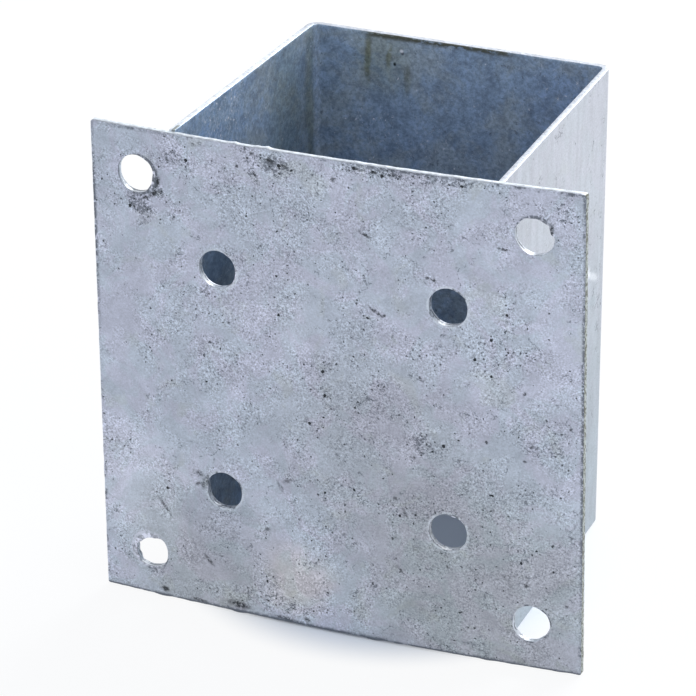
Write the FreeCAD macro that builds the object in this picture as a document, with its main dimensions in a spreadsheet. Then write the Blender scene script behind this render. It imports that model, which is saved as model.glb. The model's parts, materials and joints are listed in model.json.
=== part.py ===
"""Side-fixed timber post base, as a parametric FreeCAD document in millimetres.

A flat steel plate bolts to a wall or joist with its front face. A sheet folded to a U is welded
to the back of the plate by its two free edges, which makes a square sleeve, open above and below,
for an upright timber post. The whole is hot-dip galvanised after welding.

Frame: origin at the centre of the plate's front face, +X across the plate, +Y from the plate
into the sleeve, +Z up along the post.
"""
import FreeCAD, Part
import enum
import math
import os

import Sketcher

Vector = FreeCAD.Vector

# Driving sizes: spreadsheet alias, value, what it is.
SIZES = [
    ("plate_width", 150.0, "plate, across"),
    ("plate_height", 148.0, "plate, up; the sleeve and welds are set out from the same height"),
    ("plate_thickness", 2.0, "plate sheet"),
    ("plate_corner_radius", 0.6, "sheared corners of the plate, softened by the zinc"),
    ("outer_pitch_across", 120.0, "outer four bolt holes, centre to centre"),
    ("outer_pitch_up", 120.0, "outer four bolt holes, centre to centre"),
    ("outer_hole_diameter", 11.5, "outer four bolt holes"),
    ("inner_pitch_across", 70.0, "inner four bolt holes, centre to centre"),
    ("inner_pitch_up", 70.0, "inner four bolt holes, centre to centre"),
    ("inner_hole_diameter", 11.5, "inner four bolt holes"),
    ("sleeve_thickness", 2.0, "folded sheet"),
    ("sleeve_mouth_width", 96.8, "inside the sleeve, where its side walls meet the plate"),
    ("sleeve_fold_width", 92.0, "inside the sleeve, at its far wall"),
    ("sleeve_depth", 94.0, "inside the sleeve, plate to far wall"),
    ("bend_radius", 2.0, "inside of the two folds"),
    ("weld_leg", 3.0, "fillet weld, along the plate and along the wall"),
    ("weld_crown", 0.5, "how far the weld's face bulges from a flat one"),
    ("weld_end_chamfer", 0.8, "run-out at each end of a weld"),
    ("left_weld_setback", 1.0, "left weld's ends, in from the plate's top and bottom edges"),
    ("right_weld_setback", 4.0, "right weld's ends, in from the plate's top and bottom edges"),
]
SIZE = {alias: value for alias, value, meaning in SIZES}

# Expressions that more than one sub-part is bound to.
TOE_ANGLE = "atan((sheet.sleeve_mouth_width - sheet.sleeve_fold_width) / 2 / sheet.sleeve_depth)"
OUTER_HALF_MOUTH = f"sheet.sleeve_mouth_width / 2 + sheet.sleeve_thickness / cos({TOE_ANGLE})"
HALF_HEIGHT = "sheet.plate_height / 2"


class At(enum.IntEnum):
    """Sketcher's numbers for the points of a line, an arc or a circle."""
    START = 1
    END = 2
    CENTRE = 3


# Sketcher's numbers for the sketch's two axes; the first one starts at the origin.
ACROSS_AXIS, UP_AXIS = -1, -2
ORIGIN = (ACROSS_AXIS, At.START)


def make_sheet(doc):
    """The spreadsheet that drives every sub-part."""
    sheet = doc.addObject("Spreadsheet::Sheet", "sheet")
    for row, (alias, value, meaning) in enumerate(SIZES, start=1):
        sheet.set(f"A{row}", alias)
        sheet.set(f"B{row}", str(value))
        sheet.setAlias(f"B{row}", alias)
        sheet.set(f"C{row}", meaning)
    doc.recompute()
    return sheet


def make_body(doc, name):
    body = doc.addObject("PartDesign::Body", name)
    body.Label = name
    return body


def origin_plane(body, role):
    return next(item for item in body.Origin.OriginFeatures if item.Role == role)


def make_sketch(body, name, role):
    """An empty sketch on one of the body's own origin planes."""
    sketch = body.newObject("Sketcher::SketchObject", name)
    sketch.AttachmentSupport = [(origin_plane(body, role), "")]
    sketch.MapMode = "FlatFace"
    return sketch


def constrain(sketch, *definition):
    return sketch.addConstraint(Sketcher.Constraint(*definition))


def drive(sketch, name, expression, *definition):
    """A dimension with a name, bound to the sheet."""
    index = constrain(sketch, *definition)
    sketch.renameConstraint(index, name)
    sketch.setExpression(f"Constraints.{name}", expression)


def draw_outline(sketch, corners):
    """A closed outline of straight lines; line i runs from corner i to the next."""
    count = len(corners)
    for index in range(count):
        start, end = corners[index], corners[(index + 1) % count]
        sketch.addGeometry(Part.LineSegment(Vector(*start, 0), Vector(*end, 0)))
    for index in range(count):
        constrain(sketch, "Coincident", index, At.END, (index + 1) % count, At.START)


def pad(body, sketch, name, length, reverse=False):
    feature = body.newObject("PartDesign::Pad", name)
    feature.Profile = sketch
    feature.setExpression("Length", length)
    feature.Reversed = reverse
    return feature


def dress(body, kind, name, base, edges, size_property, size):
    """A fillet or chamfer along the given edges of the feature before it."""
    feature = body.newObject(kind, name)
    feature.Base = (base, edges)
    feature.setExpression(size_property, size)
    return feature


def edge_names(feature, test):
    """Names of the feature's edges for which test(edge) holds."""
    edges = feature.Shape.Edges
    return [f"Edge{index}" for index, edge in enumerate(edges, start=1) if test(edge)]


def runs_along(edge, direction):
    """True for a straight edge along the given direction."""
    if edge.Curve.TypeId != "Part::GeomLine":
        return False
    return abs(edge.Curve.Direction.dot(direction)) > 1 - 1e-6


def drill_rectangle(doc, body, name, pitch_across, pitch_up, diameter):
    """Four through holes at the corners of a rectangle about the plate's centre."""
    sketch = make_sketch(body, f"{name}_hole_sketch", "XZ_Plane")
    centre = Vector(SIZE[pitch_across] / 2, SIZE[pitch_up] / 2, 0)
    sketch.addGeometry(Part.Circle(centre, Vector(0, 0, 1), SIZE[diameter] / 2))
    circle = 0
    drive(sketch, "across", f"sheet.{pitch_across} / 2",
          "DistanceX", *ORIGIN, circle, At.CENTRE, centre.x)
    drive(sketch, "up", f"sheet.{pitch_up} / 2",
          "DistanceY", *ORIGIN, circle, At.CENTRE, centre.y)
    drive(sketch, "diameter", f"sheet.{diameter}", "Diameter", circle, SIZE[diameter])

    hole = body.newObject("PartDesign::Pocket", f"{name}_hole")
    hole.Profile = sketch
    hole.Type = "ThroughAll"
    doc.recompute()

    four = body.newObject("PartDesign::MultiTransform", f"{name}_holes")
    four.Originals = [hole]
    mirrors = []
    for role in ("YZ_Plane", "XY_Plane"):
        mirror = body.newObject("PartDesign::Mirrored", f"{name}_mirror_{role[:2]}")
        mirror.MirrorPlane = (origin_plane(body, role), [""])
        mirrors.append(mirror)
    four.Transformations = mirrors
    body.Tip = four
    doc.recompute()
    return four


def make_plate(doc):
    """Flat plate with its front face on the XZ plane and eight bolt holes."""
    body = make_body(doc, "mounting_plate")
    sketch = make_sketch(body, "plate_sketch", "XZ_Plane")
    half_width, half_height = SIZE["plate_width"] / 2, SIZE["plate_height"] / 2
    draw_outline(sketch, [(-half_width, -half_height), (half_width, -half_height),
                          (half_width, half_height), (-half_width, half_height)])
    bottom, right, top, left = range(4)
    for line in (bottom, top):
        constrain(sketch, "Horizontal", line)
    for line in (left, right):
        constrain(sketch, "Vertical", line)
    constrain(sketch, "Symmetric", bottom, At.START, top, At.START, *ORIGIN)
    drive(sketch, "width", "sheet.plate_width",
          "DistanceX", bottom, At.START, bottom, At.END, SIZE["plate_width"])
    drive(sketch, "height", "sheet.plate_height",
          "DistanceY", right, At.START, right, At.END, SIZE["plate_height"])

    blank = pad(body, sketch, "plate_blank", "sheet.plate_thickness", reverse=True)
    doc.recompute()
    corners = edge_names(blank, lambda edge: runs_along(edge, Vector(0, 1, 0)))
    dress(body, "PartDesign::Fillet", "plate_corners", blank, corners,
          "Radius", "sheet.plate_corner_radius")
    doc.recompute()
    drill_rectangle(doc, body, "outer",
                    "outer_pitch_across", "outer_pitch_up", "outer_hole_diameter")
    drill_rectangle(doc, body, "inner",
                    "inner_pitch_across", "inner_pitch_up", "inner_hole_diameter")
    return body


def draw_folded_section(sketch):
    """The U of the folded sheet seen from above, with its free edges on the plate's back.

    The side walls lean out a little towards the plate, because the folds spring back.
    """
    thickness = SIZE["sleeve_thickness"]
    depth = SIZE["sleeve_depth"]
    inner_mouth, inner_fold = SIZE["sleeve_mouth_width"] / 2, SIZE["sleeve_fold_width"] / 2
    toe = math.atan((inner_mouth - inner_fold) / depth)
    outer_mouth = inner_mouth + thickness / math.cos(toe)
    outer_fold = outer_mouth - (depth + thickness) * math.tan(toe)
    draw_outline(sketch, [(-outer_mouth, 0), (-outer_fold, depth + thickness),
                          (outer_fold, depth + thickness), (outer_mouth, 0),
                          (inner_mouth, 0), (inner_fold, depth),
                          (-inner_fold, depth), (-inner_mouth, 0)])
    left_outer, far_outer, right_outer, right_end, right_inner, far_inner, left_inner = range(7)

    for right_line, left_line in ((right_outer, left_outer), (right_inner, left_inner)):
        constrain(sketch, "Symmetric", right_line, At.START, left_line, At.END, UP_AXIS)
        constrain(sketch, "Symmetric", right_line, At.END, left_line, At.START, UP_AXIS)
    constrain(sketch, "PointOnObject", right_outer, At.END, ACROSS_AXIS)
    constrain(sketch, "Horizontal", right_end)
    constrain(sketch, "Parallel", right_outer, right_inner)

    drive(sketch, "wall_thickness", "sheet.sleeve_thickness",
          "Distance", right_inner, At.START, right_outer, thickness)
    drive(sketch, "far_wall_thickness", "sheet.sleeve_thickness",
          "DistanceY", far_inner, At.START, far_outer, At.END, thickness)
    drive(sketch, "mouth_width", "sheet.sleeve_mouth_width",
          "DistanceX", left_inner, At.END, right_inner, At.START, 2 * inner_mouth)
    drive(sketch, "fold_width", "sheet.sleeve_fold_width",
          "DistanceX", far_inner, At.END, far_inner, At.START, 2 * inner_fold)
    drive(sketch, "depth", "sheet.sleeve_depth",
          "DistanceY", right_inner, At.START, right_inner, At.END, depth)


def make_sleeve(doc):
    """Sheet folded twice to a U; its free edges stand on the back of the plate."""
    body = make_body(doc, "post_sleeve")
    sketch = make_sketch(body, "sleeve_sketch", "XY_Plane")
    draw_folded_section(sketch)
    channel = pad(body, sketch, "sleeve_channel", "sheet.plate_height")
    doc.recompute()

    def stands_at(distance):
        """Test for the upright edges at the given distance behind the plate."""
        return lambda edge: (runs_along(edge, Vector(0, 0, 1))
                             and abs(edge.CenterOfMass.y - distance) < 1e-6)

    inside = edge_names(channel, stands_at(SIZE["sleeve_depth"]))
    inner_bends = dress(body, "PartDesign::Fillet", "inner_bends", channel, inside,
                        "Radius", "sheet.bend_radius")
    doc.recompute()
    outside = edge_names(inner_bends, stands_at(SIZE["sleeve_depth"] + SIZE["sleeve_thickness"]))
    dress(body, "PartDesign::Fillet", "outer_bends", inner_bends, outside,
          "Radius", "sheet.bend_radius + sheet.sleeve_thickness")
    doc.recompute()

    body.setExpression("Placement.Base.y", "sheet.plate_thickness")
    body.setExpression("Placement.Base.z", f"-{HALF_HEIGHT}")
    return body


def draw_bead_section(sketch):
    """Fillet weld section: one leg on the plate, one on the leaning wall, a crowned face."""
    leg = SIZE["weld_leg"]
    toe = math.atan((SIZE["sleeve_mouth_width"] - SIZE["sleeve_fold_width"]) / 2
                    / SIZE["sleeve_depth"])
    on_plate = Vector(leg, 0, 0)
    on_wall = Vector(-leg * math.sin(toe), leg * math.cos(toe), 0)
    outward = (on_plate + on_wall).normalize()
    crest = (on_plate + on_wall) / 2 + outward * SIZE["weld_crown"]

    sketch.addGeometry(Part.LineSegment(Vector(0, 0, 0), on_plate))
    sketch.addGeometry(Part.Arc(on_plate, crest, on_wall))
    sketch.addGeometry(Part.LineSegment(on_wall, Vector(0, 0, 0)))
    plate_leg, face, wall_leg = range(3)
    constrain(sketch, "Coincident", plate_leg, At.START, *ORIGIN)
    constrain(sketch, "Coincident", plate_leg, At.END, face, At.START)
    constrain(sketch, "Coincident", face, At.END, wall_leg, At.START)
    constrain(sketch, "Coincident", wall_leg, At.END, *ORIGIN)
    constrain(sketch, "Horizontal", plate_leg)
    constrain(sketch, "Equal", plate_leg, wall_leg)
    drive(sketch, "leg", "sheet.weld_leg",
          "DistanceX", plate_leg, At.START, plate_leg, At.END, leg)
    drive(sketch, "lean", f"sheet.weld_leg * sin({TOE_ANGLE})",
          "DistanceX", wall_leg, At.START, *ORIGIN, leg * math.sin(toe))
    half_chord = f"(sheet.weld_leg * sin(45 deg + {TOE_ANGLE} / 2))"
    drive(sketch, "face_radius",
          f"({half_chord} ^ 2 + sheet.weld_crown ^ 2) / (2 * sheet.weld_crown)",
          "Radius", face, sketch.Geometry[face].Radius)


def make_bead(doc, name, setback, on_left):
    """Fillet weld between the back of the plate and the outside of one side wall."""
    body = make_body(doc, name)
    sketch = make_sketch(body, f"{name}_sketch", "XY_Plane")
    draw_bead_section(sketch)
    run = pad(body, sketch, f"{name}_run", f"sheet.plate_height - 2 * sheet.{setback}")
    doc.recompute()
    ends = edge_names(run, lambda edge: edge.Curve.TypeId == "Part::GeomCircle")
    dress(body, "PartDesign::Chamfer", f"{name}_ends", run, ends,
          "Size", "sheet.weld_end_chamfer")

    # The left weld is the right one turned half round about +Y, so it is set out from the top.
    if on_left:
        body.Placement.Rotation = FreeCAD.Rotation(Vector(0, 1, 0), 180)
    side = "-1" if on_left else "1"
    body.setExpression("Placement.Base.x", f"{side} * ({OUTER_HALF_MOUTH})")
    body.setExpression("Placement.Base.y", "sheet.plate_thickness")
    body.setExpression("Placement.Base.z", f"-{side} * ({HALF_HEIGHT} - sheet.{setback})")
    return body


def check(doc, bodies):
    """Stop if any object failed to recompute or any sub-part isn't one sound solid."""
    for item in doc.Objects:
        if "Invalid" in item.State or "Error" in item.State:
            raise RuntimeError(f"{item.Label} failed: {item.State}")
    for body in bodies:
        shape = body.Shape
        if shape.isNull() or not shape.isValid() or len(shape.Solids) != 1:
            raise RuntimeError(f"{body.Label} is not one valid solid")


def main():
    doc = FreeCAD.newDocument("timber_post_base")
    make_sheet(doc)
    bodies = [
        make_plate(doc),
        make_sleeve(doc),
        make_bead(doc, "weld_bead_left", "left_weld_setback", on_left=True),
        make_bead(doc, "weld_bead_right", "right_weld_setback", on_left=False),
    ]
    doc.recompute()
    check(doc, bodies)
    os.makedirs("parts", exist_ok=True)
    for body in bodies:
        body.Shape.exportStep(os.path.join("parts", f"{body.Label}.step"))
        print(f"{body.Label}: volume {body.Shape.Volume:.1f} mm3, {body.Shape.BoundBox}")


main()
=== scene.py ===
"""Looks of the side-fixed timber post base: hot-dip galvanised sheet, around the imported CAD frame.

Lengths are in millimetres up to the place where a mesh or a coordinate is handed to Blender, which
works in metres. The row frame: origin at the centre of the plate's front face, +X across the plate,
+Y from the plate into the sleeve, +Z up along the post.
"""
import json
import math

import bpy
import numpy as np
from mathutils import Matrix, Vector, noise


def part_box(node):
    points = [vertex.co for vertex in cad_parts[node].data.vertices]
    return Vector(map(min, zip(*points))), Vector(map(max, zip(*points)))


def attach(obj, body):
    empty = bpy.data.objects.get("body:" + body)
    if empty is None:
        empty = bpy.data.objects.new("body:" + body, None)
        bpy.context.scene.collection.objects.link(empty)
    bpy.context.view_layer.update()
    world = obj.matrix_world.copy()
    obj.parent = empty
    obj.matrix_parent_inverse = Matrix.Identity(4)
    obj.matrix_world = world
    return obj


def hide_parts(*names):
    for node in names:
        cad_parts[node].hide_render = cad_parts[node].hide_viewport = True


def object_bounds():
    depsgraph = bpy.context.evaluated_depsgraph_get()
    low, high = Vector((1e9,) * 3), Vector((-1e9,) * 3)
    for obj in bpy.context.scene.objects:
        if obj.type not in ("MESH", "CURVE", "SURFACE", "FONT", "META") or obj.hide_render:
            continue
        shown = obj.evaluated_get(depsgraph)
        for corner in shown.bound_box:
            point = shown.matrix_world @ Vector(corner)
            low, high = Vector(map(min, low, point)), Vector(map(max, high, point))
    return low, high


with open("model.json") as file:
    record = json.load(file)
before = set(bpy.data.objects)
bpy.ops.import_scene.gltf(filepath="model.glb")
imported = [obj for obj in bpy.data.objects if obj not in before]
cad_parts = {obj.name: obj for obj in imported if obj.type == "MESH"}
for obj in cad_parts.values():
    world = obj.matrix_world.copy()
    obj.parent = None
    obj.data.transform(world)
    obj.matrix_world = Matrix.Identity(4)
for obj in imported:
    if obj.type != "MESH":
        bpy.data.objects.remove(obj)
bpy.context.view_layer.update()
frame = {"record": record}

MM = 0.001


def node_box(node):
    """Lowest and highest corner of a CAD node in millimetres."""
    low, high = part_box(node)
    return np.array(low) / MM, np.array(high) / MM


def mount(name):
    """A mount of the record, by its name."""
    return next(item for item in frame["record"]["mounts"] if item["name"] == name)


PLATE_LOW, PLATE_HIGH = node_box("mounting_plate")
SLEEVE_LOW, SLEEVE_HIGH = node_box("post_sleeve")
PLATE_WIDTH, SHEET, PLATE_HEIGHT = PLATE_HIGH - PLATE_LOW
HALF_WIDTH, HALF_HEIGHT = PLATE_WIDTH / 2, PLATE_HEIGHT / 2
HOLE_RADIUS = mount("outer_bolts")["dims"]["hole_r_mm"]
OUTER_HOLE = mount("outer_bolts")["dims"]["spacing_x_mm"] / 2
INNER_HOLE = mount("inner_bolts")["dims"]["spacing_x_mm"] / 2
HOLES = [(side * place, level * place)
         for place in (OUTER_HOLE, INNER_HOLE) for side in (-1, 1) for level in (-1, 1)]

# The plate was pulled into a shallow bow when the sleeve was welded on.
PLATE_BOW = 2.7
PLATE_CORNER = 0.6
# Its cut edges, like the sleeve's, are rounded wherever they turn by more than the sharp angle.
EDGE_ROUNDING = 0.3
EDGE_SEGMENTS = 3
SHARP_ANGLE = math.radians(50)
# Its right edge was sheared a little short and out of square.
RIGHT_EDGE_SHORT = 0.33
RIGHT_EDGE_LEAN = 0.35

# The folded sleeve as in the CAD: its width inside at the far wall, and its bends' outer radius.
SLEEVE_FOLD_WIDTH = 92.0
SLEEVE_FOLD_HALF = SLEEVE_FOLD_WIDTH / 2 + SHEET
BEND_OUTER_RADIUS = 4.0
# It was welded on a little askew: turned about +Y, moved to -X and leaning to -X as it goes back.
SLEEVE_TURN = math.radians(0.61)
SLEEVE_SHIFT = -1.0
SLEEVE_LEAN = -0.009

WELD_LEG = 3.0
WELD_ROOT = 0.3
WELD_CROWN = 0.6


# ---- meshes

def new_object(name, vertices, faces):
    """A mesh object from millimetre points."""
    mesh = bpy.data.meshes.new(name)
    points = [tuple(point * MM for point in vertex) for vertex in vertices]
    mesh.from_pydata(points, [], faces)
    mesh.update()
    thing = bpy.data.objects.new(name, mesh)
    bpy.context.scene.collection.objects.link(thing)
    return thing


def mark_sheet_place(thing, places):
    """Keeps each point's place on the flat, unfolded sheet in millimetres, for the materials.

    Across, up and, where it matters, how deep in the sheet."""
    attribute = thing.data.attributes.new("sheet_place", "FLOAT_VECTOR", "POINT")
    attribute.data.foreach_set("vector", np.array(places, dtype=np.float32).ravel())


def thicken(thing, thickness, rounding):
    """Gives a sheet its thickness along its normals and rounds its cut edges.

    The far shell and the cut edges take the second and third material."""
    solidify = thing.modifiers.new("sheet", "SOLIDIFY")
    solidify.thickness = thickness * MM
    solidify.offset = -1
    solidify.use_even_offset = True
    solidify.material_offset = 1
    solidify.material_offset_rim = 2
    bevel = thing.modifiers.new("edges", "BEVEL")
    bevel.width = rounding * MM
    bevel.segments = EDGE_SEGMENTS
    bevel.limit_method = "ANGLE"
    bevel.angle_limit = SHARP_ANGLE
    depsgraph = bpy.context.evaluated_depsgraph_get()
    mesh = bpy.data.meshes.new_from_object(thing.evaluated_get(depsgraph))
    thing.modifiers.clear()
    thing.data = mesh
    mesh.shade_smooth()


def vertex_points(thing):
    """The places of a piece's vertices in millimetres."""
    points = np.zeros(len(thing.data.vertices) * 3)
    thing.data.vertices.foreach_get("co", points)
    return points.reshape(-1, 3) / MM


def displace(thing, move):
    """Moves each vertex by move(points), an array of millimetre offsets."""
    points = vertex_points(thing)
    points += move(points)
    thing.data.vertices.foreach_set("co", (points * MM).ravel())
    thing.data.update()


def dress(thing, node):
    """Lets a piece stand for a CAD node: hangs it under the root and hides the node."""
    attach(thing, "root")
    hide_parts(node)


def smooth_step(value, low, high):
    """0 below low and 1 above high, with a smooth rise between them."""
    share = np.clip((value - low) / (high - low), 0, 1)
    return share * share * (3 - 2 * share)


def askew(points):
    """How the welded sleeve stands off its nominal place."""
    x, y, z = points.T
    return np.stack([SLEEVE_SHIFT + SLEEVE_TURN * z + SLEEVE_LEAN * (y - SHEET),
                     np.zeros_like(x), -SLEEVE_TURN * x], axis=1)


def spaced(breaks, step):
    """Values from the first break to the last, through every break, about step apart."""
    values = [breaks[0]]
    for low, high in zip(breaks, breaks[1:]):
        count = max(1, round((high - low) / step))
        values += [low + (high - low) * index / count for index in range(1, count + 1)]
    return values


PLATE_STEP = 1.0
# Each hole lies in a square patch, filled with rings of faces that crowd towards the hole.
PATCH_HALF = 8.5
HOLE_RINGS = 5
RING_CROWDING = 1.5


def round_plate_corner(x, z):
    """Pulls a point beyond the plate's rounded corner back onto it."""
    centre_x, centre_z = HALF_WIDTH - PLATE_CORNER, HALF_HEIGHT - PLATE_CORNER
    over_x, over_z = abs(x) - centre_x, abs(z) - centre_z
    reach = math.hypot(over_x, over_z)
    if over_x <= 0 or over_z <= 0 or reach <= PLATE_CORNER:
        return x, z
    shrink = PLATE_CORNER / reach
    return (math.copysign(centre_x + over_x * shrink, x),
            math.copysign(centre_z + over_z * shrink, z))


def grid_lines(half):
    """The grid's lines over one width: through the edges of the patches and the rounded corners."""
    near, far = INNER_HOLE, OUTER_HOLE
    positive = [near - PATCH_HALF, near + PATCH_HALF, far - PATCH_HALF, far + PATCH_HALF,
                half - PLATE_CORNER, half - PLATE_CORNER / 3, half]
    return spaced([-value for value in reversed(positive)] + positive, PLATE_STEP)


def in_patch(x, z):
    return any(abs(x - hole_x) < PATCH_HALF and abs(z - hole_z) < PATCH_HALF
               for hole_x, hole_z in HOLES)


def patch_loop(index, across, up, hole):
    """The grid's vertices round one hole's patch, in order."""
    def first_and_last(lines, middle):
        inside = [i for i, line in enumerate(lines) if abs(line - middle) < PATCH_HALF + 0.01]
        return inside[0], inside[-1]

    left, right = first_and_last(across, hole[0])
    bottom, top = first_and_last(up, hole[1])
    return ([index[column, bottom] for column in range(left, right)]
            + [index[right, row] for row in range(bottom, top)]
            + [index[column, top] for column in range(right, left, -1)]
            + [index[left, row] for row in range(top, bottom, -1)])


def add_hole_rings(vertices, faces, loop, hole):
    """Fills a patch with rings of faces, from its square loop to the round hole's edge."""
    hole_x, hole_z = hole
    square = [vertices[item] for item in loop]
    count = len(loop)
    outer = loop
    for ring in range(1, HOLE_RINGS + 1):
        share = 1 - (1 - ring / HOLE_RINGS) ** RING_CROWDING
        inner = []
        for x, _, z in square:
            angle = math.atan2(z - hole_z, x - hole_x)
            rim_x = hole_x + HOLE_RADIUS * math.cos(angle)
            rim_z = hole_z + HOLE_RADIUS * math.sin(angle)
            inner.append(len(vertices))
            vertices.append((x + (rim_x - x) * share, 0.0, z + (rim_z - z) * share))
        faces += [(outer[i], outer[(i + 1) % count], inner[(i + 1) % count], inner[i])
                  for i in range(count)]
        outer = inner


def make_plate_sheet():
    """The plate's front face as a fine grid with eight round holes."""
    across, up = grid_lines(HALF_WIDTH), grid_lines(HALF_HEIGHT)
    vertices = []
    index = {}
    for column, x in enumerate(across):
        for row, z in enumerate(up):
            index[column, row] = len(vertices)
            rounded_x, rounded_z = round_plate_corner(x, z)
            vertices.append((rounded_x, 0.0, rounded_z))

    faces = []
    for column in range(len(across) - 1):
        for row in range(len(up) - 1):
            middle_x = (across[column] + across[column + 1]) / 2
            middle_z = (up[row] + up[row + 1]) / 2
            if not in_patch(middle_x, middle_z):
                faces.append((index[column, row], index[column + 1, row],
                              index[column + 1, row + 1], index[column, row + 1]))
    for hole in HOLES:
        add_hole_rings(vertices, faces, patch_loop(index, across, up, hole), hole)
    return new_object("galvanised_plate", vertices, faces)


def bow(x):
    """How far the plate stands behind the flat frame; zero where the sleeve is welded on."""
    weld_x = SLEEVE_HIGH[0]
    return PLATE_BOW * ((x / HALF_WIDTH) ** 2 - (weld_x / HALF_WIDTH) ** 2)


# Punched a little off its place: hole, how far across. The shift fades out past the hole's patch.
HOLE_SHIFTS = [((-60, 60), -0.85), ((-35, 35), -0.5)]
SHIFT_MARGIN = 3
SHIFT_FADE = 4
# Zinc that set inside a bolt hole: hole, middle angle, half angle, how far in.
HOLE_FILMS = [
    ((-60, -60), 118, 74, 1.6),
    ((-60, -60), 190, 45, 1),
    ((-60, -60), 270, 55, 0.45),
    ((-60, 60), -22, 40, 0.3),
    ((60, 60), 75, 50, 0.6),
    ((60, 60), 24, 24, 1.1),
    ((60, -60), -40, 40, 0.45),
    ((60, -60), 170, 40, 0.3),
    ((-35, -35), 190, 25, 0.3),
    ((35, -35), 78, 16, 0.35),
]
# A film reaches this far out from the hole, and thins out over this share of its half angle.
FILM_REACH = 2.2
FILM_THINNING = 0.6
# A hole's edge is uneven: bumps per millimetre, their depth, and how much they change a film.
BUMP_RATE = 0.45
BUMP_DEPTH = 0.14
BUMP_ON_FILM = 0.3
BUMP_SEED = 7.0
# Zinc that set in lumps on the plate's top and bottom edges: across, half width, height.
TOP_LUMPS = [(-19.6, 1.2, 0.45), (-22.2, 0.9, 0.3), (-29.5, 1.0, 0.2), (8.0, 2.0, 0.15)]
BOTTOM_LUMPS = [(-56.0, 3.0, 0.3), (-31.0, 2.5, 0.35), (12.0, 3.0, 0.25), (47.0, 2.0, 0.2)]
# The sheared edges wander by this much, within this length, and take a strip this wide along.
EDGE_WANDER = 0.14
WANDER_LENGTH = 3.5
EDGE_STRIP = 1.5


def film_depth(hole, angle):
    """How far the films of zinc stand into a hole, at angles in degrees."""
    depth = np.zeros(len(angle))
    for film_hole, middle, half, deepest in HOLE_FILMS:
        if film_hole == hole:
            turn = np.abs((angle - middle + 180) % 360 - 180)
            depth = np.maximum(depth, deepest * smooth_step(half - turn, 0, half * FILM_THINNING))
    return depth


def hole_edge_moves(x, z):
    """How the zinc and the punch moved the points round each bolt hole."""
    moves = np.zeros((len(x), 2))
    for hole_x, hole_z in HOLES:
        out_x, out_z = x - hole_x, z - hole_z
        away = np.hypot(out_x, out_z)
        near = smooth_step(HOLE_RADIUS + FILM_REACH - away, 0, FILM_REACH)
        film = film_depth((hole_x, hole_z), np.degrees(np.arctan2(out_z, out_x)))
        bumps = np.array([noise.noise(Vector((px * BUMP_RATE, pz * BUMP_RATE, BUMP_SEED)))
                          for px, pz in zip(out_x * (near > 0), out_z * (near > 0))])
        inward = near * (film * (1 + BUMP_ON_FILM * bumps) + BUMP_DEPTH * bumps)
        moves[:, 0] -= inward * out_x / np.maximum(away, 1)
        moves[:, 1] -= inward * out_z / np.maximum(away, 1)
    for (hole_x, hole_z), shift in HOLE_SHIFTS:
        away = np.hypot(x - hole_x, z - hole_z)
        moves[:, 0] += shift * smooth_step(PATCH_HALF + SHIFT_MARGIN - away, 0, SHIFT_FADE)
    return moves


def outline_moves(x, z):
    """Slight wander of the sheared edges, and the lumps of zinc on them."""
    moves = np.zeros((len(x), 2))
    for axis, along, toward, half in ((0, z, x, HALF_WIDTH), (1, x, z, HALF_HEIGHT)):
        near = smooth_step(np.abs(toward), half - EDGE_STRIP, half)
        wander = np.array([noise.noise(Vector((place / WANDER_LENGTH, np.sign(side), axis)))
                           for place, side in zip(along, toward)])
        moves[:, axis] += EDGE_WANDER * near * wander
    for sign, lumps in ((1, TOP_LUMPS), (-1, BOTTOM_LUMPS)):
        near = smooth_step(z * sign, HALF_HEIGHT - EDGE_STRIP, HALF_HEIGHT)
        for middle, half_width, height in lumps:
            share = np.clip(1 - ((x - middle) / half_width) ** 2, 0, 1)
            moves[:, 1] += sign * height * near * share
    return moves


def punched(points):
    """How the punch, the shears and the zinc moved points within the plate's plane."""
    x, z = points[:, 0], points[:, 2]
    move = np.zeros_like(points)
    move[:, [0, 2]] = hole_edge_moves(x, z) + outline_moves(x, z)
    return move


def skewed_and_bowed(points):
    """How the plate's right edge and its bow stand off the flat, square plate."""
    x, z = points[:, 0], points[:, 2]
    near_edge = smooth_step(x, OUTER_HOLE + HOLE_RADIUS, HALF_WIDTH)
    move = np.zeros_like(points)
    move[:, 0] = -(RIGHT_EDGE_SHORT + RIGHT_EDGE_LEAN * z / HALF_HEIGHT) * near_edge
    move[:, 1] = bow(x)
    return move


def make_plate():
    """The whole plate: dressed, thickened, then punched, sheared and bowed."""
    plate = make_plate_sheet()
    dress(plate, "mounting_plate")
    for look in (plate_front_look(), plate_back_look(), plate_edge_look()):
        plate.data.materials.append(look)
    thicken(plate, SHEET, EDGE_ROUNDING)
    displace(plate, punched)
    mark_sheet_place(plate, vertex_points(plate)[:, [0, 2, 1]])
    displace(plate, skewed_and_bowed)


SLEEVE_STEP = 1.2
BEND_STEPS = 8


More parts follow.
